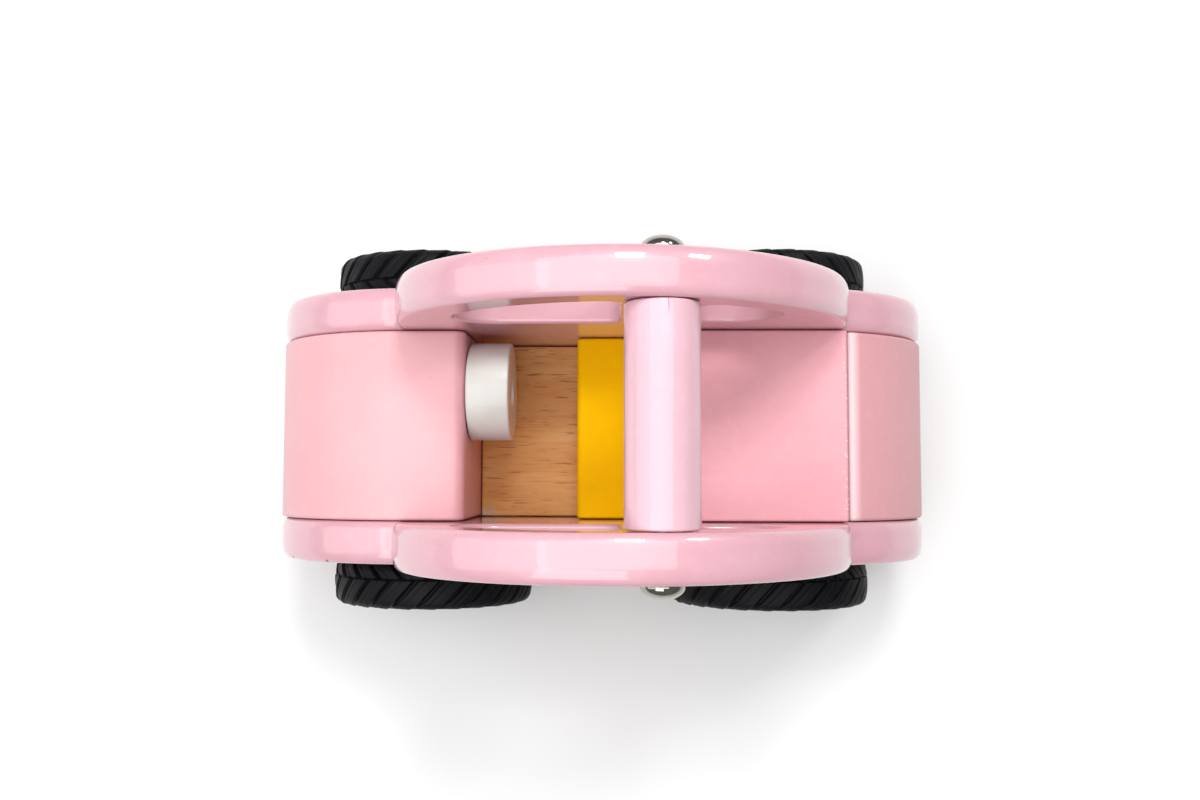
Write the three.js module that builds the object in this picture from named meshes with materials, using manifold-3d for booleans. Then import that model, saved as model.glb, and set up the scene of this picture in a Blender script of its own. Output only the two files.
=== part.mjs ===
// Painted wooden dolls' car: two side panels with a cabin arch, a hood block, a boot block and a rear deck
// block between them, a bare wood floor, a yellow bench, a turning steering disc, a roof bar on a tie rod
// and four rubber-tyred wheels that roll on two steel axles.
// Millimetres, +X forward, +Y to the car's left, +Z up, origin on the ground under the middle of the box.
import * as THREE from "three";
import { mergeVertices } from "three/addons/utils/BufferGeometryUtils.js";
import Module from "manifold-3d";

const wasm = await Module();
wasm.setup();

// ---- driving dimensions -------------------------------------------------------------------------
const GAP = 0.3; // air between pieces that are glued, pushed or bolted together
const BODY_W = 100; // over the outer faces of the side panels
const PANEL_T = 15.5; // side panel thickness
const PANEL_EDGE = 3; // rounding of the panel edges
const PANEL_BOTTOM = 24; // ground clearance under the panels
const CORNER_R = 10; // lower corners of panels and end blocks

const TYRE_R = 39.8;
const TYRE_IN = 51.2; // inner side wall, from the middle of the car
const TYRE_OUT = 68.8; // outer side wall
const BEAD_R = 26.3;
const FRONT_X = 68.1; // front axle
const REAR_X = -67.4; // rear axle
const AXLE_Z = TYRE_R;
const AXLE_R = 3;
const AXLE_END = 66.7;
const HUB_R = 26;
const HUB_IN = 51.4;
const HUB_RIM = 66.2;
const HUB_DISH = 64;
const HUB_BOSS = 65;
const WASHER_R = 7;
const WASHER_IN = 50.3;
const WASHER_OUT = 51.1;
const AXLE_CAP_R = 5.5;
const AXLE_CAP_IN = 65.3;
const AXLE_CAP_OUT = 68.6;

const FRONT_ARC_Z = 40.4; // centre height of the front fender arc
const FRONT_ARC_R = 60.4;
const REAR_ARC_Z = 39.8;
const REAR_ARC_R = 61;
const HOOD_Z = FRONT_ARC_Z + FRONT_ARC_R; // flat top of the hood, 100.8

const ARCH_X = -8.5; // centre of the cabin arch
const ARCH_Z = 99.5;
const ARCH_R = 80.6;
const ARCH_FRONT_N = 2.13; // the front shoulder is a little fuller than a circle
const ARCH_REAR_N = 1.92;
const NOTCH_R = 2; // inside corner between fender and arch
const WINDOW_R = 66.5; // upper edge of the windows
const SILL_Z = 117;
const WINDOW_CORNER = 5;
const PILLAR_FRONT = -7.7; // pillar between the two windows
const PILLAR_REAR = -33.7;

const ROOF_X = -20.7; // roof bar
const ROOF_Z = 165.7;
const ROOF_R = 11.7;
const ROD_R = 2.5; // steel tie rod through the bar
const ROD_END = 53;
const ROOF_CAP_R = 6.9;
const ROOF_CAP_H = 4.7;

const DASH_X = 48.4; // upright rear face of the hood block
const DASH_EDGE = 4.5;
const BLOCK_BOTTOM = 26;
const BLOCK_EDGE = 1.2;
const FLOOR_Z = 48.8;
const FLOOR_T = 15.5;
const SEAT_FRONT = 8.6;
const SEAT_Z = 77.1;
const SEAT_EDGE = 2.5;
const DECK_FRONT = -32.5;
const DECK_REAR = -89.1;
const DECK_Z = 101.2;
const BOOT_EDGE = 2.5;

const WHEEL_Y = -13.2; // steering disc, on the car's right
const WHEEL_Z = 82.7;
const WHEEL_R = 18.2;
const WHEEL_T = 15.5;
const WHEEL_EDGE = 1.8;
const WHEEL_RECESS_R = 4.8;
const WHEEL_RECESS = 6;
const SCREW_R = 2;
const SCREW_HEAD_R = 3.8;
const SCREW_HEAD_T = 2.6;
const SCREW_IN = 22; // depth of the screw in the dash

const DOWEL_R = 4;
const FLOOR_DOWEL_R = 3;
const DOWEL_IN_PANEL = 9.5;
const DOWEL_IN_BLOCK = 10;
const HOOD_DOWELS = [
  [62, 84],
  [104, 58],
];
const DECK_DOWELS = [
  [-46, 76],
  [-78, 76],
];
const BOOT_DOWELS = [
  [-101, 72],
  [-112, 46],
];
const FLOOR_DOWELS = [
  [30, 41],
  [-18, 41],
];

const INNER = BODY_W / 2 - PANEL_T; // inner face of a panel
const BLOCK_W = 2 * (INNER - GAP);
const BOOT_FRONT = DECK_REAR - GAP;
const NOSE_X = FRONT_X + FRONT_ARC_R;
const TAIL_X = REAR_X - REAR_ARC_R;

// ---- helpers ------------------------------------------------------------------------------------
const v2 = (x, y) => new THREE.Vector2(x, y);

function arc(cx, cy, r, from, to, steps) {
  const out = [];
  for (let i = 0; i <= steps; i++) {
    const a = from + ((to - from) * i) / steps;
    out.push(v2(cx + r * Math.cos(a), cy + r * Math.sin(a)));
  }
  return out;
}

function clean(points) {
  const out = points.filter(
    (p, i) => i === 0 || p.distanceTo(points[i - 1]) > 0.02,
  );
  while (out.length > 1 && out[0].distanceTo(out[out.length - 1]) < 0.02)
    out.pop();
  return out;
}

function volume(geometry) {
  const g = geometry.index ? geometry.toNonIndexed() : geometry,
    p = g.getAttribute("position"),
    a = new THREE.Vector3(),
    b = new THREE.Vector3(),
    c = new THREE.Vector3();
  let v = 0;
  for (let i = 0; i < p.count; i += 3) {
    a.fromBufferAttribute(p, i);
    b.fromBufferAttribute(p, i + 1);
    c.fromBufferAttribute(p, i + 2);
    v += a.dot(b.cross(c)) / 6;
  }
  return v;
}

// A side-view outline (x, z) with a rounded edge, as wide as the given width across the car.
function prism(outline, holes, width, edge, steps, y = 0) {
  const shape = new THREE.Shape(clean(outline));
  for (const h of holes) shape.holes.push(new THREE.Path(clean(h)));
  const g = new THREE.ExtrudeGeometry(shape, {
    depth: width - 2 * edge,
    bevelEnabled: edge > 0,
    bevelThickness: edge,
    bevelSize: edge,
    bevelOffset: -edge,
    bevelSegments: steps,
  });
  g.translate(0, 0, edge - width / 2);
  g.rotateX(Math.PI / 2);
  g.translate(0, y, 0);
  return g;
}

// A turned shape: [radius, position along the axis] pairs, closed on itself or on the axis.
function turned(profile, steps) {
  const points = profile.map(([r, a]) => v2(r, a));
  const g = new THREE.LatheGeometry(points, steps);
  return volume(g) > 0 ? g : new THREE.LatheGeometry(points.reverse(), steps);
}
const alongX = (g) => g.rotateZ(-Math.PI / 2); // turned axis onto +X

function rodY(r, from, to, x, z, steps = 16) {
  return new THREE.CylinderGeometry(r, r, to - from, steps).translate(
    x,
    (from + to) / 2,
    z,
  );
}

function rodX(r, from, to, y, z, steps = 16) {
  return alongX(new THREE.CylinderGeometry(r, r, to - from, steps)).translate(
    (from + to) / 2,
    y,
    z,
  );
}

function solid(geometry) {
  const bare = new THREE.BufferGeometry().setAttribute(
    "position",
    geometry.getAttribute("position").clone(),
  );
  if (geometry.index) bare.setIndex(geometry.index.clone());
  const merged = mergeVertices(bare, 1e-4);
  return new wasm.Manifold(
    new wasm.Mesh({
      numProp: 3,
      vertProperties: new Float32Array(merged.getAttribute("position").array),
      triVerts: new Uint32Array(merged.index.array),
    }),
  );
}

function geometryOf(manifold) {
  const m = manifold.getMesh(),
    n = m.numProp,
    positions = new Float32Array(m.numVert * 3);
  for (let i = 0; i < m.numVert; i++)
    positions.set(m.vertProperties.subarray(i * n, i * n + 3), i * 3);
  const g = new THREE.BufferGeometry()
    .setAttribute("position", new THREE.BufferAttribute(positions, 3))
    .setIndex(new THREE.BufferAttribute(new Uint32Array(m.triVerts), 1));
  g.computeVertexNormals();
  return g;
}

const cut = (geometry, tools) =>
  geometryOf(
    tools.reduce((s, tool) => s.subtract(solid(tool)), solid(geometry)),
  );

const car = new THREE.Group();
car.name = "dolls_car";

function add(name, geometry, colour, roughness, metalness = 0) {
  const mesh = new THREE.Mesh(
    geometry,
    new THREE.MeshStandardMaterial({ color: colour, roughness, metalness }),
  );
  mesh.name = name;
  car.add(mesh);
}

const PANEL_PINK = 0xf6c3d4,
  BLOCK_PINK = 0xf8cdd2,
  DECK_PINK = 0xf2b3bd,
  ROOF_PINK = 0xf3d0e2,
  BEECH = 0xc58a54,
  YELLOW = 0xf7bd04,
  WHITE = 0xe4e2de,
  BLACK = 0x1a1c1e,
  STEEL = 0xb8bcc0;

// ---- side panels --------------------------------------------------------------------------------
function archPoints(steps) {
  const out = [];
  for (let i = 0; i <= 2 * steps; i++) {
    const a = (Math.PI * i) / (2 * steps),
      c = Math.cos(a),
      s = Math.sin(a),
      n = c >= 0 ? ARCH_FRONT_N : ARCH_REAR_N,
      r = ARCH_R / (Math.abs(c) ** n + Math.abs(s) ** n) ** (1 / n);
    out.push(v2(ARCH_X + r * c, ARCH_Z + r * s));
  }
  return out;
}

const archFront = ARCH_X + ARCH_R,
  archRear = ARCH_X - ARCH_R;

function panelOutline() {
  const frontNotch = v2(
    archFront + NOTCH_R,
    FRONT_ARC_Z +
      Math.sqrt(
        (FRONT_ARC_R + NOTCH_R) ** 2 - (archFront + NOTCH_R - FRONT_X) ** 2,
      ),
  );
  const rearNotch = v2(
    archRear - NOTCH_R,
    REAR_ARC_Z +
      Math.sqrt(
        (REAR_ARC_R + NOTCH_R) ** 2 - (archRear - NOTCH_R - REAR_X) ** 2,
      ),
  );
  const frontEnd = Math.atan2(
      frontNotch.y - FRONT_ARC_Z,
      frontNotch.x - FRONT_X,
    ),
    rearStart = Math.atan2(rearNotch.y - REAR_ARC_Z, rearNotch.x - REAR_X);
  return [
    ...arc(
      NOSE_X - CORNER_R,
      PANEL_BOTTOM + CORNER_R,
      CORNER_R,
      -Math.PI / 2,
      0,
      5,
    ),
    ...arc(FRONT_X, FRONT_ARC_Z, FRONT_ARC_R, 0, frontEnd, 11),
    ...arc(
      frontNotch.x,
      frontNotch.y,
      NOTCH_R,
      frontEnd - Math.PI,
      -Math.PI,
      3,
    ),
    ...archPoints(13).filter(
      (p) =>
        (p.x < ARCH_X || p.y > frontNotch.y + 0.5) &&
        (p.x > ARCH_X || p.y > rearNotch.y + 0.5),
    ),
    ...arc(rearNotch.x, rearNotch.y, NOTCH_R, 0, rearStart - Math.PI, 3),
    ...arc(REAR_X, REAR_ARC_Z, REAR_ARC_R, rearStart, Math.PI, 9),
    ...arc(
      TAIL_X + CORNER_R,
      PANEL_BOTTOM + CORNER_R,
      CORNER_R,
      Math.PI,
      1.5 * Math.PI,
      5,
    ),
  ];
}

// One window: side is +1 for the front one, -1 for the rear one.
function windowOutline(side) {
  const k = WINDOW_CORNER,
    edge = side > 0 ? PILLAR_FRONT : PILLAR_REAR,
    low = v2(
      ARCH_X + side * Math.sqrt((WINDOW_R - k) ** 2 - (SILL_Z + k - ARCH_Z) ** 2),
      SILL_Z + k,
    ),
    post = edge + side * k,
    high = v2(
      post,
      ARCH_Z + Math.sqrt((WINDOW_R - k) ** 2 - (post - ARCH_X) ** 2),
    ),
    lowAngle = Math.atan2(low.y - ARCH_Z, low.x - ARCH_X),
    highAngle = Math.atan2(high.y - ARCH_Z, high.x - ARCH_X),
    back = side > 0 ? Math.PI : 0;
  return [
    ...arc(low.x, low.y, k, -Math.PI / 2, lowAngle - (side > 0 ? 0 : 2 * Math.PI), 5),
    ...arc(ARCH_X, ARCH_Z, WINDOW_R, lowAngle, highAngle, 7),
    ...arc(high.x, high.y, k, highAngle, back, 3),
    ...arc(post, SILL_Z + k, k, back, side > 0 ? 1.5 * Math.PI : -Math.PI / 2, 3),
  ];
}

const boresY = (r, from, to, places) =>
  places.map(([x, z]) => rodY(r, from, to, x, z, 12));

for (const [side, name] of [
  [1, "left"],
  [-1, "right"],
]) {
  const middle = side * (BODY_W / 2 - PANEL_T / 2);
  const through = [middle - PANEL_T, middle + PANEL_T];
  const a = side * (INNER - 2),
    b = side * (INNER + DOWEL_IN_PANEL + GAP);
  const blind = [Math.min(a, b), Math.max(a, b)];
  add(
    `${name}_side_panel`,
    cut(
      prism(
        panelOutline(),
        [windowOutline(1), windowOutline(-1)],
        PANEL_T,
        PANEL_EDGE,
        2,
        middle,
      ),
      [
        rodY(AXLE_R + GAP, ...through, FRONT_X, AXLE_Z),
        rodY(AXLE_R + GAP, ...through, REAR_X, AXLE_Z),
        rodY(ROD_R + GAP, ...through, ROOF_X, ROOF_Z),
        ...boresY(DOWEL_R + GAP, ...blind, [
          ...HOOD_DOWELS,
          ...DECK_DOWELS,
          ...BOOT_DOWELS,
        ]),
        ...boresY(FLOOR_DOWEL_R + GAP, ...blind, FLOOR_DOWELS),
      ],
    ),
    PANEL_PINK,
    0.25,
  );
}

// ---- blocks between the panels ------------------------------------------------------------------
function blockBores(r, places) {
  const deep = INNER - DOWEL_IN_BLOCK - GAP;
  return [
    ...boresY(r + GAP, deep, INNER + 2, places),
    ...boresY(r + GAP, -INNER - 2, -deep, places),
  ];
}

add(
  "hood_block",
  cut(
    prism(
      [
        v2(DASH_X, BLOCK_BOTTOM),
        ...arc(
          NOSE_X - CORNER_R,
          BLOCK_BOTTOM + CORNER_R,
          CORNER_R,
          -Math.PI / 2,
          0,
          5,
        ),
        ...arc(FRONT_X, FRONT_ARC_Z, FRONT_ARC_R, 0, Math.PI / 2, 12),
        ...arc(
          DASH_X + DASH_EDGE,
          HOOD_Z - DASH_EDGE,
          DASH_EDGE,
          Math.PI / 2,
          Math.PI,
          5,
        ),
      ],
      [],
      BLOCK_W,
      BLOCK_EDGE,
      1,
    ),
    [
      rodY(AXLE_R + GAP, -BODY_W / 2, BODY_W / 2, FRONT_X, AXLE_Z),
      rodX(SCREW_R + GAP, DASH_X - 2, DASH_X + SCREW_IN + GAP, WHEEL_Y, WHEEL_Z),
      ...blockBores(DOWEL_R, HOOD_DOWELS),
    ],
  ),
  BLOCK_PINK,
  0.45,
);

const bootTop = v2(
  BOOT_FRONT - BOOT_EDGE,
  REAR_ARC_Z +
    Math.sqrt(
      (REAR_ARC_R - BOOT_EDGE) ** 2 - (BOOT_FRONT - BOOT_EDGE - REAR_X) ** 2,
    ),
);
const bootAngle = Math.atan2(bootTop.y - REAR_ARC_Z, bootTop.x - REAR_X);
add(
  "boot_block",
  cut(
    prism(
      [
        v2(BOOT_FRONT, BLOCK_BOTTOM),
        ...arc(bootTop.x, bootTop.y, BOOT_EDGE, 0, bootAngle, 5),
        ...arc(REAR_X, REAR_ARC_Z, REAR_ARC_R, bootAngle, Math.PI, 9),
        ...arc(
          TAIL_X + CORNER_R,
          BLOCK_BOTTOM + CORNER_R,
          CORNER_R,
          Math.PI,
          1.5 * Math.PI,
          5,
        ),
      ],
      [],
      BLOCK_W,
      BLOCK_EDGE,
      1,
    ),
    blockBores(DOWEL_R, BOOT_DOWELS),
  ),
  BLOCK_PINK,
  0.45,
);

add(
  "rear_deck",
  cut(
    prism(
      [
        v2(DECK_REAR, FLOOR_Z + GAP),
        v2(DECK_FRONT, FLOOR_Z + GAP),
        ...arc(DECK_FRONT - 1.5, DECK_Z - 1.5, 1.5, 0, Math.PI / 2, 3),
        v2(DECK_REAR, DECK_Z),
      ],
      [],
      BLOCK_W,
      0.6,
      1,
    ),
    blockBores(DOWEL_R, DECK_DOWELS),
  ),
  DECK_PINK,
  0.4,
);

add(
  "floor_board",
  cut(
    prism(
      [
        v2(DECK_REAR, FLOOR_Z - FLOOR_T),
        v2(DASH_X - GAP, FLOOR_Z - FLOOR_T),
        v2(DASH_X - GAP, FLOOR_Z),
        v2(DECK_REAR, FLOOR_Z),
      ],
      [],
      BLOCK_W,
      0,
      1,
    ),
    [
      rodY(AXLE_R + GAP, -BODY_W / 2, BODY_W / 2, REAR_X, AXLE_Z),
      ...blockBores(FLOOR_DOWEL_R, FLOOR_DOWELS),
    ],
  ),
  BEECH,
  0.6,
);

add(
  "bench_seat",
  prism(
    [
      v2(DECK_FRONT + GAP, FLOOR_Z + GAP),
      v2(SEAT_FRONT, FLOOR_Z + GAP),
      ...arc(
        SEAT_FRONT - SEAT_EDGE,
        SEAT_Z - SEAT_EDGE,
        SEAT_EDGE,
        0,
        Math.PI / 2,
        4,
      ),
      v2(DECK_FRONT + GAP, SEAT_Z),
    ],
    [],
    BLOCK_W,
    0.8,
    1,
  ),
  YELLOW,
  0.35,
);

// ---- hidden glued dowels ------------------------------------------------------------------------
for (const [block, r, places] of [
  ["hood", DOWEL_R, HOOD_DOWELS],
  ["deck", DOWEL_R, DECK_DOWELS],
  ["boot", DOWEL_R, BOOT_DOWELS],
  ["floor", FLOOR_DOWEL_R, FLOOR_DOWELS],
])
  places.forEach(([x, z], i) => {
    const near = INNER - DOWEL_IN_BLOCK,
      far = INNER + DOWEL_IN_PANEL;
    add(`${block}_dowel_left_${i + 1}`, rodY(r, near, far, x, z, 12), BEECH, 0.7);
    add(
      `${block}_dowel_right_${i + 1}`,
      rodY(r, -far, -near, x, z, 12),
      BEECH,
      0.7,
    );
  });

// ---- roof bar, tie rod and cap nuts ---------------------------------------------------------------
const tube = (inner, outer, from, to, steps) =>
  turned(
    [
      [inner, from],
      [outer, from],
      [outer, to],
      [inner, to],
      [inner, from],
    ],
    steps,
  );
add(
  "roof_bar",
  tube(ROD_R + GAP, ROOF_R, -INNER + GAP, INNER - GAP, 32).translate(
    ROOF_X,
    0,
    ROOF_Z,
  ),
  ROOF_PINK,
  0.3,
);
add("roof_rod", rodY(ROD_R, -ROD_END, ROD_END, ROOF_X, ROOF_Z), STEEL, 0.35, 1);

// A domed cap with a blind bore, opening towards the car.
function domedCap(radius, base, top, bore, boreEnd, skirt, steps) {
  const height = top - base - skirt,
    ball = (radius ** 2 + height ** 2) / (2 * height),
    half = Math.asin(radius / ball),
    profile = [
      [0, boreEnd],
      [bore, boreEnd],
      [bore, base],
      [radius, base],
    ];
  for (let i = 0; i < 4; i++) {
    const a = half * (1 - i / 4);
    profile.push([
      ball * Math.sin(a),
      base + skirt + height - ball * (1 - Math.cos(a)),
    ]);
  }
  profile.push([0, top]);
  return turned(profile, steps);
}
for (const [side, name] of [
  [1, "left"],
  [-1, "right"],
]) {
  const g = domedCap(
    ROOF_CAP_R,
    BODY_W / 2 + GAP,
    BODY_W / 2 + GAP + ROOF_CAP_H,
    ROD_R + GAP,
    ROD_END + GAP,
    0.5,
    18,
  );
  if (side < 0) g.rotateX(Math.PI);
  add(`roof_cap_${name}`, g.translate(ROOF_X, 0, ROOF_Z), STEEL, 0.15, 1);
}

// ---- steering disc ------------------------------------------------------------------------------
{
  const face = DASH_X - GAP - WHEEL_T, // the face the driver sees
    back = DASH_X - GAP,
    e = WHEEL_EDGE,
    profile = [
      [SCREW_R + GAP, face + WHEEL_RECESS],
      [WHEEL_RECESS_R, face + WHEEL_RECESS],
      [WHEEL_RECESS_R, face],
      ...[0, 1, 2].map((i) => {
        const a = (Math.PI / 4) * i;
        return [
          WHEEL_R - e + e * Math.sin(a),
          face + e - e * Math.cos(a),
        ];
      }),
      ...[0, 1].map((i) => {
        const a = (Math.PI / 2) * i;
        return [
          WHEEL_R - 0.8 + 0.8 * Math.cos(a),
          back - 0.8 + 0.8 * Math.sin(a),
        ];
      }),
      [SCREW_R + GAP, back],
      [SCREW_R + GAP, face + WHEEL_RECESS],
    ];
  add(
    "steering_wheel",
    alongX(turned(profile, 32)).translate(0, WHEEL_Y, WHEEL_Z),
    WHITE,
    0.45,
  );
  const seat = face + WHEEL_RECESS - GAP;
  add(
    "steering_washer",
    alongX(
      tube(SCREW_R + GAP, WHEEL_RECESS_R - 0.4, seat - 0.8, seat, 16),
    ).translate(0, WHEEL_Y, WHEEL_Z),
    STEEL,
    0.3,
    1,
  );
  const under = seat - 0.8 - GAP,
    top = under - SCREW_HEAD_T;
  add(
    "steering_screw",
    alongX(
      turned(
        [
          [0, top],
          [SCREW_HEAD_R * 0.6, top + 0.2],
          [SCREW_HEAD_R * 0.9, top + 0.9],
          [SCREW_HEAD_R, top + 1.7],
          [SCREW_HEAD_R, under],
          [SCREW_R, under],
          [SCREW_R, DASH_X + SCREW_IN - 2.5],
          [0, DASH_X + SCREW_IN],
        ],
        16,
      ),
    ).translate(0, WHEEL_Y, WHEEL_Z),
    STEEL,
    0.3,
    1,
  );
}

// ---- axles and wheels -----------------------------------------------------------------------------
for (const [axle, x] of [
  ["front", FRONT_X],
  ["rear", REAR_X],
]) {
  add(
    `${axle}_axle`,
    rodY(AXLE_R, -AXLE_END, AXLE_END, x, AXLE_Z),
    STEEL,
    0.35,
    1,
  );
  for (const [side, name] of [
    [1, "left"],
    [-1, "right"],
  ]) {
    const place = (g) => {
      if (side < 0) g.rotateX(Math.PI);
      return g.translate(x, 0, AXLE_Z);
    };
    const s = 3.6, // shoulder rounding
      shoulder = (from, to, middle) =>
        [0, 1, 2].map((i) => {
          const a = from + ((to - from) * i) / 2;
          return [
            TYRE_R - s + s * Math.cos(a),
            middle + s * Math.sin(a),
          ];
        });
    add(
      `tyre_${axle}_${name}`,
      place(
        turned(
          [
            [BEAD_R, TYRE_IN + 1.2],
            [BEAD_R + 1.2, TYRE_IN],
            ...shoulder(-Math.PI / 2, 0, TYRE_IN + s),
            ...shoulder(0, Math.PI / 2, TYRE_OUT - s),
            [BEAD_R + 1.2, TYRE_OUT],
            [BEAD_R, TYRE_OUT - 1.2],
            [BEAD_R, TYRE_IN + 1.2],
          ],
          36,
        ),
      ),
      BLACK,
      0.8,
    );
    add(
      `hub_${axle}_${name}`,
      place(
        turned(
          [
            [AXLE_R + GAP, HUB_IN],
            [HUB_R - 1, HUB_IN],
            [HUB_R, HUB_IN + 1],
            [HUB_R, HUB_RIM - 1],
            [HUB_R - 1, HUB_RIM],
            [HUB_R - 4, HUB_RIM],
            [HUB_R - 6, HUB_DISH],
            [10, HUB_DISH],
            [9, HUB_BOSS],
            [AXLE_R + GAP, HUB_BOSS],
            [AXLE_R + GAP, HUB_IN],
          ],
          28,
        ),
      ),
      WHITE,
      0.4,
    );
    add(
      `wheel_washer_${axle}_${name}`,
      place(tube(AXLE_R + GAP, WASHER_R, WASHER_IN, WASHER_OUT, 16)),
      STEEL,
      0.3,
      1,
    );
    add(
      `axle_cap_${axle}_${name}`,
      place(
        domedCap(
          AXLE_CAP_R,
          AXLE_CAP_IN,
          AXLE_CAP_OUT,
          AXLE_R + GAP,
          AXLE_END + GAP,
          0.8,
          14,
        ),
      ),
      STEEL,
      0.15,
      1,
    );
  }
}

export default car;
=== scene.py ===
import math

import bpy
from mathutils import Matrix, Vector
from mathutils.geometry import tessellate_polygon


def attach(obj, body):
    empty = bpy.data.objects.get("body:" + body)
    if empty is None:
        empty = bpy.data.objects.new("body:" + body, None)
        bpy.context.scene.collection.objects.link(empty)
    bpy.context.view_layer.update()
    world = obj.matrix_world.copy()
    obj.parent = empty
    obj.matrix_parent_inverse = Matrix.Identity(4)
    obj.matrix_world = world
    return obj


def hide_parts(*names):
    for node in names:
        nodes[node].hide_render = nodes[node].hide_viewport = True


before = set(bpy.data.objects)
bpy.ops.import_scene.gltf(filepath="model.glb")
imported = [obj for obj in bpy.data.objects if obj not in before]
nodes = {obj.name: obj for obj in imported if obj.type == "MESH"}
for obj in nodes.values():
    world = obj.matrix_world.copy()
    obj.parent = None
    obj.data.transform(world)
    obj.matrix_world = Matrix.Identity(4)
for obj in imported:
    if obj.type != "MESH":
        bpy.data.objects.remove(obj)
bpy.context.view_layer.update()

MM = 0.001
PI = math.pi

# ---- dimensions in millimetres, +X nose, +Y the car's left, +Z up ---------------------------------
INNER, OUTER = 34.5, 50.0  # faces of a side panel
HALF = 34.2  # half width of the blocks between the panels
EDGE_IN, EDGE_OUT, EDGE_WINDOW = (2.4, 4.5), (2.6, 6.5), 1.6  # drop and run of a panel's inner and outer edges; windows
BOTTOM, BLOCK_BOTTOM = 24.0, 26.0
FRONT_X, REAR_X, AXLE_Z = 68.1, -67.4, 39.8
FRONT_C, FRONT_R = 40.4, 60.4
REAR_C, REAR_R = 39.8, 61.0
NOSE, TAIL = FRONT_X + FRONT_R, REAR_X - REAR_R
ARCH_X, ARCH_Z, ARCH_R = -8.5, 99.5, 80.6
WINDOW_R, SILL, CORNER = 66.5, 117.0, 5.0
FRONT_LOW, REAR_LOW = 14.0, 17.0  # rounding of the windows' low outer corners
POST_FRONT, POST_REAR = -7.7, -33.7
ROOF_X, ROOF_Z, ROOF_R = -20.7, 165.7, 11.7
DASH = 48.4
DISC_Y, DISC_Z, DISC_R = -13.2, 82.7, 18.2


# ---- outlines -------------------------------------------------------------------------------------
def arc(cx, cy, r, a0, a1, steps):
    return [
        (cx + r * math.cos(a0 + (a1 - a0) * i / steps), cy + r * math.sin(a0 + (a1 - a0) * i / steps))
        for i in range(steps + 1)
    ]


def clean(points, least=0.02):
    out = []
    for p in points:
        if not out or math.dist(p, out[-1]) > least:
            out.append(p)
    while len(out) > 1 and math.dist(out[0], out[-1]) <= least:
        out.pop()
    return out


def rounded(points, steps=6, closed=True):
    """Corners given as (x, y, radius) become arcs."""
    out, n = [], len(points)
    for i, (x, y, r) in enumerate(points):
        if r <= 0 or (not closed and i in (0, n - 1)):
            out.append((x, y))
            continue
        p = Vector((x, y))
        a, b = Vector(points[i - 1][:2]) - p, Vector(points[(i + 1) % n][:2]) - p
        la, lb = a.length, b.length
        a, b = a / la, b / lb
        half = math.acos(max(-1, min(1, a.dot(b)))) / 2
        t = min(r / math.tan(half), 0.49 * la, 0.49 * lb)
        rr = t * math.tan(half)
        c = p + (a + b).normalized() * (rr / math.sin(half))
        s, e = p + a * t - c, p + b * t - c
        a0, a1 = math.atan2(s.y, s.x), math.atan2(e.y, e.x)
        d = (a1 - a0 + PI) % (2 * PI) - PI
        out += [(c.x + rr * math.cos(a0 + d * k / steps), c.y + rr * math.sin(a0 + d * k / steps)) for k in range(steps + 1)]
    return clean(out)


def arch_point(a):
    c, s = math.cos(a), math.sin(a)
    n = 2.13 if c > 0 else 1.92
    r = ARCH_R / (abs(c) ** n + abs(s) ** n) ** (1 / n)
    return ARCH_X + r * c, ARCH_Z + r * s


def panel_outline():
    front, rear = ARCH_X + ARCH_R, ARCH_X - ARCH_R
    fx = front + 2
    fz = FRONT_C + math.sqrt((FRONT_R + 2) ** 2 - (fx - FRONT_X) ** 2)
    f_end = math.atan2(fz - FRONT_C, fx - FRONT_X)
    rx = rear - 2
    rz = REAR_C + math.sqrt((REAR_R + 2) ** 2 - (rx - REAR_X) ** 2)
    r_start = math.atan2(rz - REAR_C, rx - REAR_X)
    pts = arc(NOSE - 10, BOTTOM + 10, 10, -PI / 2, 0, 14)
    pts += arc(FRONT_X, FRONT_C, FRONT_R, 0, f_end, 56)
    pts += arc(fx, fz, 2, f_end - PI, -PI, 8)
    arch = [arch_point(PI * i / 150) for i in range(151)]
    pts += [p for p in arch if not (p[0] > ARCH_X and p[1] < fz + 0.1) and not (p[0] < ARCH_X and p[1] < rz + 0.1)]
    pts += arc(rx, rz, 2, 0, r_start - PI, 8)
    pts += arc(REAR_X, REAR_C, REAR_R, r_start, PI, 56)
    pts += arc(TAIL + 10, BOTTOM + 10, 10, PI, 1.5 * PI, 14)
    return clean(pts)


def window(sign, post):
    """One side window; sign +1 is the front one."""
    deep = FRONT_LOW if sign > 0 else REAR_LOW
    low = (ARCH_X + sign * math.sqrt((WINDOW_R - deep) ** 2 - (SILL + deep - ARCH_Z) ** 2), SILL + deep)
    up = (post + sign * CORNER, ARCH_Z + math.sqrt((WINDOW_R - CORNER) ** 2 - (post + sign * CORNER - ARCH_X) ** 2))
    a_low = math.atan2(low[1] - ARCH_Z, low[0] - ARCH_X)
    a_up = math.atan2(up[1] - ARCH_Z, up[0] - ARCH_X)
    pts = arc(low[0], low[1], deep, -PI / 2, a_low if sign > 0 else a_low - 2 * PI, 20)
    pts += arc(ARCH_X, ARCH_Z, WINDOW_R, a_low, a_up, 40)
    turn = PI if sign > 0 else 0
    pts += arc(up[0], up[1], CORNER, a_up, turn, 10)
    foot = (post + sign * CORNER, SILL + CORNER)
    pts += arc(foot[0], foot[1], CORNER, turn, 1.5 * PI if sign > 0 else -PI / 2, 10)
    return clean(pts)


# ---- mesh builders --------------------------------------------------------------------------------
def area(pts):
    return sum(pts[i - 1][0] * p[1] - p[0] * pts[i - 1][1] for i, p in enumerate(pts)) / 2


def turned_right(pts, ccw=True):
    return list(pts) if (area(pts) > 0) == ccw else list(reversed(pts))


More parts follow.
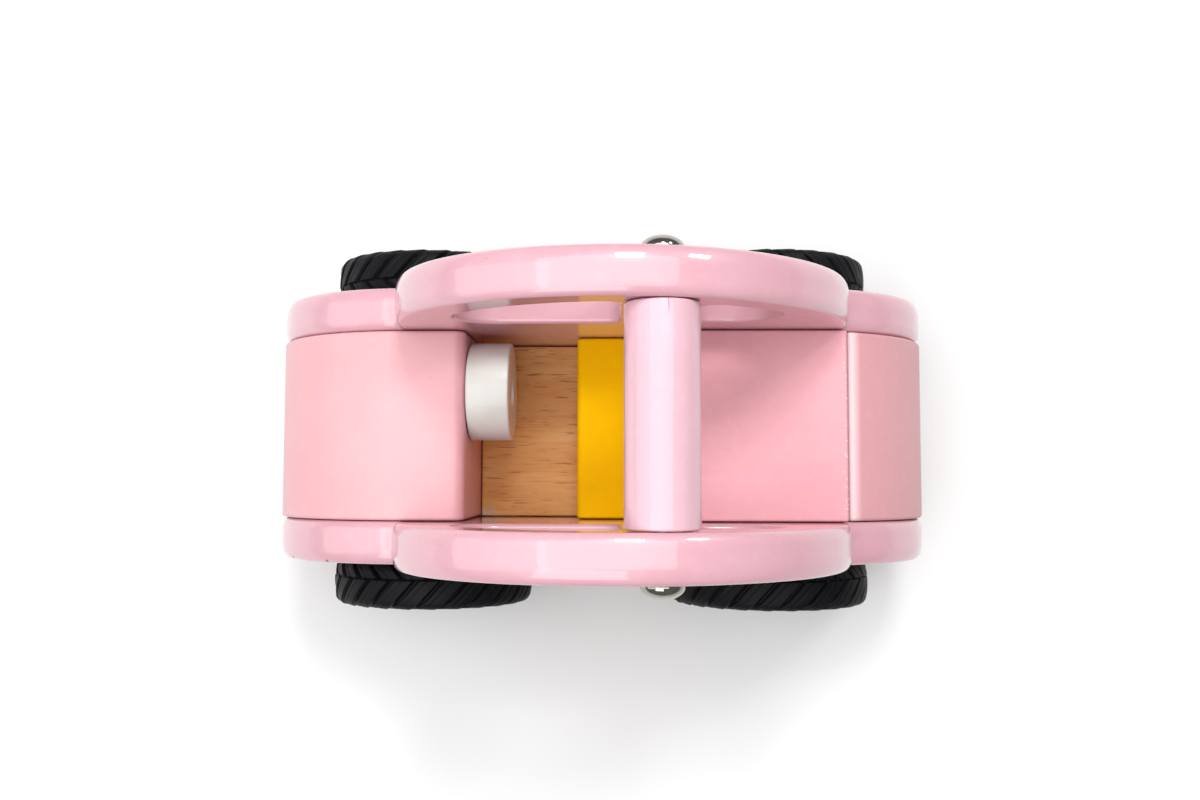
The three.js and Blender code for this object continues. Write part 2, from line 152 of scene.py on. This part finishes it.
def side_normals(pts):
    out, n = [], len(pts)
    for i in range(n):
        (x0, y0), (x1, y1), (x2, y2) = pts[i - 1], pts[i], pts[(i + 1) % n]
        a = Vector((y1 - y0, x0 - x1)).normalized()
        b = Vector((y2 - y1, x1 - x2)).normalized()
        m = (a + b).normalized()
        out.append((m, 1 / max(0.6, m.dot(b))))
    return out


def place(axis, u, v, w):
    return {"Y": (u, w, v), "X": (w, u, v)}[axis]


def finish_mesh(name, verts, faces, normals, edges, body, material, slot, stands_for):
    me = bpy.data.meshes.new(name)
    me.from_pydata([tuple(c * MM for c in v) for v in verts], [], faces)
    me.validate()
    if edges:
        att = me.attributes.new("edge", "FLOAT", "POINT")
        att.data.foreach_set("value", edges)
    me.shade_smooth()
    if normals:
        import bmesh

        bm = bmesh.new()
        bm.from_mesh(me)
        bmesh.ops.recalc_face_normals(bm, faces=bm.faces[:])
        bm.to_mesh(me)
        bm.free()
        me.shade_smooth()
        me.normals_split_custom_set_from_vertices([Vector(v).normalized() for v in normals])
    ob = bpy.data.objects.new(name, me)
    bpy.context.scene.collection.objects.link(ob)
    me.materials.append(material)
    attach(ob, body)
    if stands_for:
        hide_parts(*stands_for)
    return ob


def prism(outer, holes, w0, w1, r, steps=6, axis="Y", pockets=(), hole_r=None):
    """A side-view outline between w0 and w1 with its edges rounded to r, and pockets sunk into the w0 face."""
    verts, faces, normals, edges = [], [], [], []
    low, high, low_at, high_at = [], [], [], []
    for j, loop in enumerate([outer] + list(holes)):
        pts = turned_right(clean(loop), j == 0)
        nrm = side_normals(pts)
        n, base = len(pts), len(verts)
        r0, r1 = r if isinstance(r, tuple) else (r, r)
        if j and hole_r:
            r0 = r1 = hole_r
        (r0, run0), (r1, run1) = (e if isinstance(e, tuple) else (e, e) for e in (r0, r1))
        rings = []
        for k in range(steps + 1):
            t = PI / 2 * (1 - k / steps)
            rise = math.hypot(run0 * math.cos(t), r0 * math.sin(t))
            rings.append((r0 * (1 - math.cos(t)), w0 + run0 * (1 - math.sin(t)), run0 * math.cos(t) / rise, -r0 * math.sin(t) / rise))
        for k in range(steps + 1):
            t = PI / 2 * k / steps
            rise = math.hypot(run1 * math.cos(t), r1 * math.sin(t))
            rings.append((r1 * (1 - math.cos(t)), w1 - run1 * (1 - math.sin(t)), run1 * math.cos(t) / rise, r1 * math.sin(t) / rise))
        for d, w, c, s in rings:
            for (x, y), (m, k) in zip(pts, nrm):
                verts.append(place(axis, x - d * m.x * k, y - d * m.y * k, w))
                normals.append(place(axis, m.x * c, m.y * c, s))
                edges.append(abs(2 * c * s))
        for q in range(len(rings) - 1):
            for i in range(n):
                i2 = (i + 1) % n
                faces.append((base + q * n + i, base + q * n + i2, base + (q + 1) * n + i2, base + (q + 1) * n + i))
        last = base + (len(rings) - 1) * n
        low.append([Vector((x - r0 * m.x * k, y - r0 * m.y * k, 0)) for (x, y), (m, k) in zip(pts, nrm)])
        high.append([Vector((x - r1 * m.x * k, y - r1 * m.y * k, 0)) for (x, y), (m, k) in zip(pts, nrm)])
        low_at += range(base, base + n)
        high_at += range(last, last + n)
    for loop, depth in pockets:
        pts = turned_right(clean(loop), False)
        nrm = side_normals(pts)
        n, base, f = len(pts), len(verts), 0.12
        steps_in = [(0.0, w0, 0.0, -1.0), (f * 0.3, w0 + f * 0.3, 0.7, -0.7), (f, w0 + f, 1.0, 0.0)]
        steps_in += [(f, w0 + depth - f, 1.0, 0.0), (f * 1.6, w0 + depth - f * 0.3, 0.7, -0.7), (f * 2, w0 + depth, 0.0, -1.0)]
        for d, w, c, s in steps_in:
            for (x, y), (m, k) in zip(pts, nrm):
                verts.append(place(axis, x + d * m.x * k, y + d * m.y * k, w))
                normals.append(place(axis, m.x * c, m.y * c, s))
                edges.append(0.0)
        for q in range(len(steps_in) - 1):
            for i in range(n):
                i2 = (i + 1) % n
                faces.append((base + q * n + i, base + q * n + i2, base + (q + 1) * n + i2, base + (q + 1) * n + i))
        low.append([Vector((x, y, 0)) for x, y in pts])
        low_at += range(base, base + n)
        floor = [Vector((x + 2 * f * m.x * k, y + 2 * f * m.y * k, 0)) for (x, y), (m, k) in zip(pts, nrm)]
        at = base + (len(steps_in) - 1) * n
        faces += [tuple(at + i for i in t) for t in tessellate_polygon([floor])]
    faces += [tuple(low_at[i] for i in t) for t in tessellate_polygon(low)]
    faces += [tuple(high_at[i] for i in t) for t in tessellate_polygon(high)]
    return verts, faces, normals, edges


def turned(profile, axis, centre, seg, closed):
    """A turned shape from (position along the axis, radius) points. An open profile starts and ends on the axis."""
    pts = clean(profile, 0.004) if closed else profile
    if closed:
        pts = turned_right(pts)
        nrm = [m for m, _ in side_normals(pts)]
    else:
        if area(pts) < 0:
            pts = list(reversed(pts))
        nrm = [m for m, _ in side_normals(pts)]
        for i, j in ((0, 1), (-1, -2)):
            d = pts[i][0] - sum(p[0] for p in pts) / len(pts)
            step = Vector((pts[j][1] - pts[i][1], pts[i][0] - pts[j][0]))
            nrm[i] = Vector((math.copysign(1, step.x if i == 0 else -step.x), 0)) if abs(step.x) > 1e-9 else Vector((math.copysign(1, d), 0))
    verts, faces, normals, edges, rows = [], [], [], [], []
    for (a, r), m in zip(pts, nrm):
        row = []
        for k in range(1 if r < 1e-6 else seg):
            t = 2 * PI * k / seg
            c, s = math.cos(t), math.sin(t)
            row.append(len(verts))
            verts.append(place(axis, centre[0] + r * c, centre[1] + r * s, a))
            normals.append(place(axis, m.y * c, m.y * s, m.x))
            edges.append(abs(2 * m.x * m.y))
        rows.append(row)
    pairs = list(zip(rows, rows[1:])) + ([(rows[-1], rows[0])] if closed else [])
    for a, b in pairs:
        for k in range(seg):
            k2 = (k + 1) % seg
            if len(a) == 1 and len(b) == 1:
                continue
            if len(a) == 1:
                faces.append((a[0], b[k2], b[k]))
            elif len(b) == 1:
                faces.append((a[k], a[k2], b[0]))
            else:
                faces.append((a[k], a[k2], b[k2], b[k]))
    return verts, faces, normals, edges


# ---- materials ------------------------------------------------------------------------------------
def lin(r, g, b):
    def f(c):
        c /= 255
        return c / 12.92 if c <= 0.04045 else ((c + 0.055) / 1.055) ** 2.4

    return f(r), f(g), f(b), 1.0


class Finish:
    """Small helper round one material's node tree; positions are in metres on the piece itself."""

    def __init__(self, name):
        self.mat = bpy.data.materials.new(name)
        self.mat.use_nodes = True
        self.tree = self.mat.node_tree
        self.bsdf = self.tree.nodes["Principled BSDF"]
        self.at = self.node("ShaderNodeTexCoord").outputs["Object"]

    def node(self, kind, **props):
        n = self.tree.nodes.new(kind)
        for k, v in props.items():
            setattr(n, k, v)
        return n

    def put(self, socket, value):
        if isinstance(value, bpy.types.NodeSocket):
            self.tree.links.new(value, socket)
        else:
            socket.default_value = value

    def stretch(self, x, y, z, turn=(0, 0, 0), move=(0, 0, 0)):
        n = self.node("ShaderNodeMapping")
        self.put(n.inputs["Vector"], self.at)
        n.inputs["Scale"].default_value = (x, y, z)
        n.inputs["Rotation"].default_value = turn
        n.inputs["Location"].default_value = move
        return n.outputs["Vector"]

    def noise(self, vector, scale=1.0, detail=3.0, rough=0.5, warp=0.0):
        n = self.node("ShaderNodeTexNoise")
        self.put(n.inputs["Vector"], vector)
        n.inputs["Scale"].default_value = scale
        n.inputs["Detail"].default_value = detail
        n.inputs["Roughness"].default_value = rough
        n.inputs["Distortion"].default_value = warp
        return n.outputs["Fac"]

    def span(self, value, lo, hi, a=0.0, b=1.0):
        n = self.node("ShaderNodeMapRange")
        self.put(n.inputs["Value"], value)
        for k, v in (("From Min", lo), ("From Max", hi), ("To Min", a), ("To Max", b)):
            n.inputs[k].default_value = v
        return n.outputs["Result"]

    def math(self, op, a, b=0.0):
        n = self.node("ShaderNodeMath", operation=op)
        self.put(n.inputs[0], a)
        self.put(n.inputs[1], b)
        return n.outputs[0]

    def mix(self, fac, a, b):
        n = self.node("ShaderNodeMix", data_type="RGBA")
        self.put(n.inputs[0], fac)
        self.put(n.inputs[6], a)
        self.put(n.inputs[7], b)
        return n.outputs[2]

    def near(self, point, r_in, r_out):
        """1 inside r_in (metres) of a point, 0 beyond r_out."""
        n = self.node("ShaderNodeVectorMath", operation="DISTANCE")
        self.put(n.inputs[0], self.at)
        n.inputs[1].default_value = point
        return self.span(n.outputs["Value"], r_in, r_out, 1.0, 0.0)

    def axis(self, which):
        n = self.node("ShaderNodeSeparateXYZ")
        self.put(n.inputs[0], self.at)
        return n.outputs[which]

    def edge(self):
        n = self.node("ShaderNodeAttribute", attribute_name="edge")
        return n.outputs["Fac"]

    def bump(self, height, strength, distance, under=None):
        n = self.node("ShaderNodeBump")
        n.inputs["Strength"].default_value = strength
        n.inputs["Distance"].default_value = distance
        self.put(n.inputs["Height"], height)
        if under is not None:
            self.put(n.inputs["Normal"], under)
        return n.outputs["Normal"]

    def set(self, **values):
        for k, v in values.items():
            self.put(self.bsdf.inputs[k.replace("_", " ")], v)


def paint(name, tone, deep, rough, coat, coat_rough, peel=0.10, grain=0.06, chips=0.0, seed=0.0, marks=None, shine=0.5):
    """Brushed or sprayed paint on wood: soft colour drift, faint grain, orange peel, fine specks and worn edges."""
    f = Finish(name)
    move = (seed * 0.37, seed * 0.19, seed * 0.11)
    broad = f.noise(f.stretch(1, 1, 1, move=move), 26, 2)
    fine = f.noise(f.stretch(90, 900, 900, move=move), 1, 4, 0.6)
    cloud = f.noise(f.stretch(1, 1, 1, move=move), 210, 3, 0.6)
    colour = f.mix(f.span(broad, 0.3, 0.7), lin(*tone), lin(*deep))
    pale = tuple(min(255, c + 7) for c in tone)
    colour = f.mix(f.math("MULTIPLY", f.span(cloud, 0.5, 0.75), 0.35), colour, lin(*pale))
    colour = f.mix(f.math("MULTIPLY", f.span(fine, 0.55, 0.8), 0.22), colour, lin(*[int(c * 0.93) for c in deep]))
    dots = f.noise(f.stretch(1, 1, 1, move=move), 640, 1, 0.4)
    colour = f.mix(f.math("MULTIPLY", f.span(dots, 0.79, 0.83), 0.35), colour, lin(*[int(c * 0.74) for c in deep]))
    if chips:
        hit = f.math("MULTIPLY", f.span(f.edge(), 0.55, 0.95), f.span(f.noise(f.stretch(1, 1, 1, move=move), 330, 2, 0.7), 0.735, 0.76))
        colour = f.mix(f.math("MULTIPLY", hit, chips), colour, lin(112, 74, 62))
    if marks:
        colour = marks(f, colour)
    f.set(Base_Color=colour)
    f.set(Roughness=f.span(cloud, 0.25, 0.75, rough - 0.05, rough + 0.07))
    f.set(Coat_Weight=coat, Coat_Roughness=coat_rough, Specular_IOR_Level=shine)
    skin = f.noise(f.stretch(1, 1, 1, move=move), 820, 2, 0.5)
    wave = f.noise(f.stretch(1, 1, 1, move=move), 95, 1, 0.5)
    n = f.bump(wave, 0.18, 0.0004)
    n = f.bump(fine, grain, 0.00025, n)
    n = f.bump(skin, peel, 0.00012, n)
    f.set(Normal=n, Coat_Normal=n)
    return f.mat


def wood(name, light, mid, dark, fleck, rough=0.55, marks=None):
    """Bare beech, grain along X: cloudy tone, soft growth lines and many thin reddish flecks."""
    f = Finish(name)
    drift = f.noise(f.stretch(38, 95, 95), 1, 2, 0.55, 0.5)
    lines = f.noise(f.stretch(22, 520, 520), 1, 4, 0.6, 0.35)
    pores = f.noise(f.stretch(260, 2600, 2600), 1, 2, 0.6)
    dash = f.noise(f.stretch(120, 1500, 1500, move=(3.1, 1.7, 0.4)), 1, 1.5, 0.45)
    hair = f.noise(f.stretch(70, 2100, 2100, move=(0.7, 2.9, 1.3)), 1, 2, 0.5)
    colour = f.mix(f.span(drift, 0.34, 0.66), lin(*light), lin(*mid))
    colour = f.mix(f.math("MULTIPLY", f.span(lines, 0.48, 0.72), 0.34), colour, lin(*dark))
    colour = f.mix(f.math("MULTIPLY", f.span(hair, 0.56, 0.74), 0.42), colour, lin(*dark))
    colour = f.mix(f.math("MULTIPLY", f.span(pores, 0.6, 0.8), 0.22), colour, lin(*dark))
    colour = f.mix(f.math("MULTIPLY", f.span(dash, 0.62, 0.74), 0.85), colour, lin(*fleck))
    if marks:
        colour = marks(f, colour)
    f.set(Base_Color=colour)
    f.set(Roughness=f.span(lines, 0.3, 0.7, rough - 0.08, rough + 0.1))
    n = f.bump(lines, 0.10, 0.0003)
    n = f.bump(pores, 0.18, 0.0002, n)
    f.set(Normal=n)
    return f.mat


def metal(name, tone, deep, rough, scratch=0.08):
    f = Finish(name)
    haze = f.noise(f.at, 260, 3, 0.6)
    rub = f.noise(f.stretch(300, 2600, 300), 1, 2, 0.6)
    f.set(Base_Color=f.mix(f.span(haze, 0.35, 0.7), lin(*tone), lin(*deep)), Metallic=1.0)
    f.set(Roughness=f.span(haze, 0.3, 0.7, rough * 0.8, rough * 1.35))
    f.set(Normal=f.bump(rub, scratch, 0.00006))
    return f.mat


def rubber(name):
    f = Finish(name)
    dust = f.noise(f.at, 150, 4, 0.65)
    grit = f.noise(f.at, 1500, 2, 0.5)
    colour = f.mix(f.span(dust, 0.4, 0.75), lin(11, 12, 15), lin(19, 21, 24))
    colour = f.mix(f.math("MULTIPLY", f.span(grit, 0.66, 0.74), 0.3), colour, lin(50, 52, 55))
    f.set(Base_Color=colour)
    f.set(Roughness=f.span(dust, 0.3, 0.7, 0.42, 0.6), Specular_IOR_Level=0.14)
    n = f.bump(f.noise(f.at, 420, 2, 0.5), 0.15, 0.0003)
    f.set(Normal=f.bump(grit, 0.12, 0.0001, n))
    return f.mat


def fender_mark(f, colour):
    """Two small chips knocked out of the front left fender's outer edge."""
    for point, r in (((0.1166, 0.0495, 0.0742), 0.0011), ((0.0996, 0.0496, 0.0903), 0.0009)):
        colour = f.mix(f.near(point, r * 0.75, r), colour, lin(104, 68, 66))
    return colour


def crack_mark(f, colour):
    """Hairline check in the far end of the roof bar."""
    wander = f.span(f.noise(f.at, 420, 2, 0.6), 0.2, 0.8, -0.00035, 0.00035)
    off = f.math("ABSOLUTE", f.math("ADD", f.math("ADD", f.axis(0), wander), 0.0222))
    line = f.span(off, 0.00008, 0.00022, 1.0, 0.0)
    end = f.span(f.axis(1), -0.0310, -0.0292, 1.0, 0.0)
    top = f.span(f.axis(2), 0.171, 0.173)
    fac = f.math("MULTIPLY", f.math("MULTIPLY", line, end), f.math("MULTIPLY", top, 0.75))
    return f.mix(fac, colour, lin(150, 96, 104))


def smear_mark(f, colour):
    """Dried glue and filler in the front left corner of the floor."""
    blot = f.noise(f.at, 900, 3, 0.6)
    fac = f.math("MULTIPLY", f.near((0.0455, 0.0335, 0.0488), 0.0012, 0.0052), f.span(blot, 0.42, 0.58))
    return f.mix(f.math("MULTIPLY", fac, 0.8), colour, lin(196, 188, 180))


def boot_highlight_and_seam_shade(f, colour):
    """Painted highlight and painted shade: the boot's rounded front edge is painted pale, and a dark line is painted
    down in the joint as its shade.
    """
    band = f.span(f.axis(0), -0.0950, -0.0915)
    # painted highlight: the colour grows paler toward the boot's rounded front edge
    colour = f.mix(f.math("MULTIPLY", band, 0.75), colour, lin(252, 226, 230))
    # painted shade: a dark line down in the seam between boot and deck
    seam_shade = f.span(f.axis(0), -0.0908, -0.0902)
    return f.mix(f.math("MULTIPLY", seam_shade, 0.62), colour, lin(120, 62, 66))


def deck_wear_and_seam_shade(f, colour):
    """Pale rub specks along the deck's rear edge, and a dark line of painted shade down in the joint behind it."""
    top = f.span(f.axis(2), 0.0990, 0.1004)
    # painted shade: a dark line down in the seam behind the deck's rear edge
    seam_shade = f.math("MULTIPLY", top, f.span(f.axis(0), -0.0885, -0.0890))
    colour = f.mix(f.math("MULTIPLY", seam_shade, 0.45), colour, lin(120, 62, 66))
    band = f.math("MULTIPLY", top, f.span(f.axis(0), -0.0862, -0.0886))
    speck = f.span(f.noise(f.at, 700, 3, 0.7), 0.57, 0.66)
    return f.mix(f.math("MULTIPLY", f.math("MULTIPLY", band, speck), 0.7), colour, lin(252, 226, 230))


PANEL = paint("panel_gloss_pink", (211, 163, 174), (207, 155, 166), 0.34, 1.0, 0.03, peel=0.03, grain=0.025, chips=0.8, seed=1, marks=fender_mark)
HOOD = paint("block_satin_pink", (223, 170, 175), (219, 164, 169), 0.44, 0.25, 0.24, peel=0.10, grain=0.08, chips=0.5, seed=2, shine=0.3)
BOOT = paint("boot_satin_pink", (211, 157, 162), (207, 151, 156), 0.46, 0.12, 0.26, peel=0.10, grain=0.08, chips=0.5, seed=7, marks=boot_highlight_and_seam_shade, shine=0.25)
DECK = paint("deck_satin_pink", (227, 169, 176), (223, 161, 170), 0.46, 0.12, 0.26, peel=0.16, grain=0.08, seed=3, marks=deck_wear_and_seam_shade, shine=0.2)
ROOF = paint("roof_gloss_pink", (219, 177, 189), (215, 171, 183), 0.34, 0.8, 0.05, peel=0.04, grain=0.05, seed=4, marks=crack_mark, shine=0.3)
SEAT = paint("seat_yellow", (250, 196, 0), (246, 190, 0), 0.5, 0.0, 0.3, peel=0.08, grain=0.05, seed=5, shine=0.03)
WHITE = paint("white_lacquer", (210, 212, 207), (203, 206, 200), 0.40, 0.4, 0.2, peel=0.08, grain=0.06, seed=6)
FLOOR = wood("floor_beech", (234, 184, 114), (222, 160, 86), (190, 122, 60), (160, 90, 43), marks=smear_mark)
DOWEL = wood("dowel_beech", (222, 178, 128), (206, 158, 106), (176, 126, 78), (150, 98, 56), 0.65)
RUBBER = rubber("tyre_rubber_black")
STEEL = metal("bright_steel", (196, 197, 198), (168, 168, 170), 0.24)
NICKEL = metal("nickel_plate", (176, 172, 164), (158, 153, 144), 0.07, 0.03)


# ---- body -----------------------------------------------------------------------------------------
outline = panel_outline()
windows = [window(1, POST_FRONT), window(-1, POST_REAR)]
for side, sign in (("left", 1), ("right", -1)):
    w = sorted((sign * INNER, sign * OUTER))
    finish_mesh(
        f"vis_{side}_side_panel",
        *prism(outline, windows, w[0], w[1], (EDGE_IN, EDGE_OUT)[::sign], 10, hole_r=EDGE_WINDOW),
        "car_body",
        PANEL,
        "panel_paint",
        [f"{side}_side_panel"],
    )

hood = [(DASH + 1.4, BLOCK_BOTTOM)] + arc(NOSE - 10, BLOCK_BOTTOM + 10, 10, -PI / 2, 0, 14)
hood += arc(FRONT_X, FRONT_C, FRONT_R, 0, PI / 2, 60)
hood += arc(DASH + 4.5, FRONT_C + FRONT_R - 4.5, 4.5, PI / 2, PI, 14)
hood += arc(DASH + 1.4, BLOCK_BOTTOM + 1.4, 1.4, PI, 1.5 * PI, 5)
finish_mesh("vis_hood_block", *prism(hood, [], -HALF, HALF, 1.2, 5), "car_body", HOOD, "block_paint", ["hood_block"])

boot_x = -89.4
boot_c = boot_x - 2.5
boot_z = REAR_C + math.sqrt((REAR_R - 2.5) ** 2 - (boot_c - REAR_X) ** 2)
boot_a = math.atan2(boot_z - REAR_C, boot_c - REAR_X)
boot = arc(boot_x - 1.4, BLOCK_BOTTOM + 1.4, 1.4, -PI / 2, 0, 5)
boot += arc(boot_c, boot_z, 2.5, 0, boot_a, 10)
boot += arc(REAR_X, REAR_C, REAR_R, boot_a, PI, 54)
boot += arc(TAIL + 10, BLOCK_BOTTOM + 10, 10, PI, 1.5 * PI, 14)
finish_mesh("vis_boot_block", *prism(boot, [], -HALF, HALF, 1.3, 5), "car_body", BOOT, "block_paint", ["boot_block"])

deck = rounded([(-89.1, 49.1, 1.2), (-32.5, 49.1, 1.2), (-32.5, 101.2, 1.5), (-89.1, 101.2, 1.1)])
finish_mesh("vis_rear_deck", *prism(deck, [], -HALF, HALF, 0.9, 5), "car_body", DECK, "deck_paint", ["rear_deck"])

seat = rounded([(-32.2, 49.1, 1.2), (8.6, 49.1, 1.2), (8.6, 77.1, 2.5), (-32.2, 77.1, 1.2)], 8)
finish_mesh("vis_bench_seat", *prism(seat, [], -HALF, HALF, 1.1, 5), "car_body", SEAT, "seat_paint", ["bench_seat"])

board = rounded([(-89.1, 33.3, 0.8), (48.1, 33.3, 0.8), (48.1, 48.8, 0.8), (-89.1, 48.8, 0.8)], 4)
finish_mesh("vis_floor_board", *prism(board, [], -HALF, HALF, 0.7, 4), "car_body", FLOOR, "floor_wood", ["floor_board"])

bar = rounded([(-HALF, 2.8, 0.3), (-HALF, ROOF_R, 0.8), (HALF, ROOF_R, 0.8), (HALF, 2.8, 0.3)], 5)
finish_mesh("vis_roof_bar", *turned(bar, "Y", (ROOF_X, ROOF_Z), 128, True), "car_body", ROOF, "roof_paint", ["roof_bar"])


def dome(base, height, radius, skirt, hole, hollow, sign):
    """A domed nut: hollow for the rod, straight skirt, then a flattened dome."""
    pts = [(sign * (base + hollow), 0.0), (sign * (base + hollow), hole - 0.2), (sign * (base + hollow - 0.2), hole), (sign * base, hole)]
    pts += [(sign * base, radius - 0.25), (sign * (base + 0.08), radius - 0.08), (sign * (base + 0.25), radius), (sign * (base + skirt), radius)]
    rise = height - skirt
    for k in range(1, 19):
        t = PI / 2 * k / 18
        pts.append((sign * (base + skirt + rise * math.sin(t)), radius * math.cos(t) if k < 18 else 0.0))
    return pts


for side, sign in (("left", 1), ("right", -1)):
    finish_mesh(
        f"vis_roof_cap_{side}",
        *turned(dome(50.3, 4.7, 6.9, 0.5, 2.8, 3.0, sign), "Y", (ROOF_X, ROOF_Z), 72, False),
        "car_body",
        NICKEL,
        "nickel",
        [f"roof_cap_{side}"],
    )

# ---- steering disc --------------------------------------------------------------------------------
disc = rounded(
    [(48.1, 2.4, 0.2), (38.6, 2.4, 0.2), (38.6, 4.8, 0.3), (32.6, 4.8, 0.7), (32.6, DISC_R, 0.8), (48.1, DISC_R, 1.0)],
    7,
)
finish_mesh("vis_steering_wheel", *turned(disc, "X", (DISC_Y, DISC_Z), 112, True), "steering_disc", WHITE, "white_paint", ["steering_wheel"])

# ---- wheels ---------------------------------------------------------------------------------------
LUGS, PER = 25, 16


def tyre(sign, lean, centre):
    """Chevron tread: two staggered rows of slanted lugs, parted off-centre by a fine groove, scalloped shoulders."""
    split, depth, shoulder = -2.6, 1.7, 3.65

    def crown(a):
        return 39.8 - 0.012 * a * a

    rows = []
    for s in (-1, 1):
        half = [(a, crown(a), 0, 1, 1.0, 0.0) for a in ((split + 0.45, -0.8, 1.2, 3.2, 4.9) if s > 0 else (split - 0.45, -3.9, -4.9))]
        for deg, f in ((70, 1.0), (48, 1.0), (26, 0.9), (6, 0.8)):
            t = math.radians(deg)
            half.append((s * (5.1 + shoulder * math.cos(t)), crown(5.1) - shoulder + shoulder * math.sin(t), s * math.cos(t), math.sin(t), f, 0.0))
        half += [(s * 8.78, 34.6, s, 0, 0.5, 0.0), (s * 8.75, 33.7, s, 0, 0.0, 0.0)]
        half += [(s * a, r, s, 0, 0.0, 0.0) for a, r in ((8.45, 33.3), (8.45, 31.6), (8.7, 31.2), (8.6, 29.6), (8.1, 28.0), (7.4, 26.9))]
        half.append((s * 6.9, 26.3, 0, -1, 0.0, 0.0))
        rows = half[::-1] + [(split, crown(split), 0, 1, 0.0, 0.5)] if s < 0 else rows + half
    home = next(i for i, row in enumerate(rows) if row[5] > 0)
    path = [0.0] * len(rows)
    for way in (1, -1):
        i = home + way
        while 0 <= i < len(rows):
            step = math.dist(rows[i][:2], rows[i - way][:2]) if rows[i - way][4] > 0 or i - way == home else 0.0
            path[i] = path[i - way] + step
            i += way
    total = LUGS * PER
    cut = [1.0, 1.0, 0.3] + [0.02 * k for k in range(7)] + [0.24] + [0.14 + 0.02 * k for k in range(4)] + [0.42]
    verts, faces = [], []
    for (a, r, na, nr, f, c), run in zip(rows, path):
        slant = lean * math.tan(math.radians(43)) * run / 39.8
        for i in range(total):
            h = (cut[(i + (PER // 2 if a < split else 0)) % PER] * f + c) * depth
            t = 2 * PI * i / total + slant
            rr, aa = r - nr * h, a - na * h
            verts.append((centre[0] + rr * math.sin(t), sign * (60.0 + aa), centre[1] + rr * math.cos(t)))
    n = len(rows)
    for j in range(n):
        j2 = (j + 1) % n
        for i in range(total):
            i2 = (i + 1) % total
            q = (j * total + i, j * total + i2, j2 * total + i2, j2 * total + i)
            faces.append(q if sign > 0 else q[::-1])
    return verts, faces


hub_profile = [(51.4, 3.3, 0.3), (51.4, 26.0, 0.8), (66.2, 26.0, 0.9), (66.2, 20.6, 1.0), (64.0, 19.6, 0.8), (64.0, 10.4, 0.8), (65.0, 9.4, 0.8), (65.0, 3.3, 0.3)]
LEAN = {"front_left": 1, "rear_left": 1, "front_right": -1, "rear_right": 1}
for end, x in (("front", FRONT_X), ("rear", REAR_X)):
    for side, sign in (("left", 1), ("right", -1)):
        key = f"{end}_{side}"
        body = f"wheel_{key}"
        verts, faces = tyre(sign, LEAN[key], (x, AXLE_Z))
        ob = finish_mesh(f"vis_tyre_{key}", verts, faces, None, None, body, RUBBER, "tyre_rubber", [f"tyre_{key}"])
        ob.data.set_sharp_from_angle(angle=math.radians(38))
        prof = rounded([(sign * a, r, f) for a, r, f in hub_profile], 5)
        finish_mesh(f"vis_hub_{key}", *turned(prof, "Y", (x, AXLE_Z), 96, True), body, WHITE, "white_paint", [f"hub_{key}"])
        cap = dome(65.3, 3.3, 5.5, 0.4, 3.3, 1.7, sign)
        finish_mesh(f"vis_axle_cap_{key}", *turned(cap, "Y", (x, AXLE_Z), 56, False), "car_body", NICKEL, "nickel", [f"axle_cap_{key}"])

# ---- pieces shown straight from the frame ---------------------------------------------------------
for name, ob in nodes.items():
    if "dowel" in name:
        m = DOWEL
    elif name == "steering_screw":
        m = WHITE  # its head is painted over with the disc
    elif name.startswith("wheel_washer") or name in ("steering_washer", "roof_rod", "front_axle", "rear_axle"):
        m = STEEL
    else:
        continue
    ob.data.materials.clear()
    ob.data.materials.append(m)

# ---- floor, light, camera -------------------------------------------------------------------------
me = bpy.data.meshes.new("stage_floor")
me.from_pydata([(-4, -4, 0), (4, -4, 0), (4, 4, 0), (-4, 4, 0)], [], [(0, 1, 2, 3)])
ground = bpy.data.objects.new("stage_floor", me)
bpy.context.scene.collection.objects.link(ground)
f = Finish("stage_white")
f.set(Base_Color=f.mix(f.noise(f.at, 3, 2), lin(232, 232, 232), lin(230, 230, 230)))
f.set(Roughness=0.7, Specular_IOR_Level=0.2)
me.materials.append(f.mat)


# five soft boxes over and around the camera and a dim even room, lighting every piece and the floor alike
for name, direction, width, depth, power in (
    ("top_box", (0.05, -0.14, 1.0), 1.50, 1.10, 12.4),
    ("far_box", (-0.10, -0.62, 1.0), 0.28, 0.30, 5.6),
    ("near_box", (0.30, 0.60, 1.0), 0.80, 0.60, 4.5),
    ("front_box", (1.40, 0.0, 1.0), 1.20, 1.00, 4.8),
    ("rear_box", (-0.90, -0.85, 1.0), 0.20, 0.22, 2.8),
):
    data = bpy.data.lights.new(name, "AREA")
    data.shape = "RECTANGLE"
    data.size, data.size_y = width, depth
    data.energy = power
    ob = bpy.data.objects.new(name, data)
    bpy.context.scene.collection.objects.link(ob)
    centre = Vector((0, 0, 0.08))
    back = Vector(direction).normalized()
    side = (Vector((1, 0, 0)) - back * back.x).normalized()
    ob.location = back * 1.25 + centre
    ob.rotation_euler = Matrix((side, back.cross(side), back)).transposed().to_euler()

world = bpy.data.worlds.new("studio")
world.use_nodes = True
world.node_tree.nodes["Background"].inputs["Color"].default_value = (1, 1, 1, 1)
world.node_tree.nodes["Background"].inputs["Strength"].default_value = 0.22
bpy.context.scene.world = world
bpy.context.scene.view_settings.view_transform = "Standard"
bpy.context.scene.view_settings.look = "None"

cam_data = bpy.data.cameras.new("camera")
cam_data.sensor_fit = "HORIZONTAL"
cam_data.sensor_width = 36.0
cam_data.lens = 1142.3 / 1200 * 36.0
cam_data.clip_start = 0.01
cam = bpy.data.objects.new("camera", cam_data)
bpy.context.scene.collection.objects.link(cam)
tilt = Matrix.Rotation(PI, 4, "Z") @ Matrix.Rotation(0.0020, 4, "Z") @ Matrix.Rotation(0.0202, 4, "Y") @ Matrix.Rotation(0.0661, 4, "X")
cam.matrix_world = Matrix.Translation((-0.00885, 0.01802, 0.50932)) @ tilt
bpy.context.scene.camera = cam
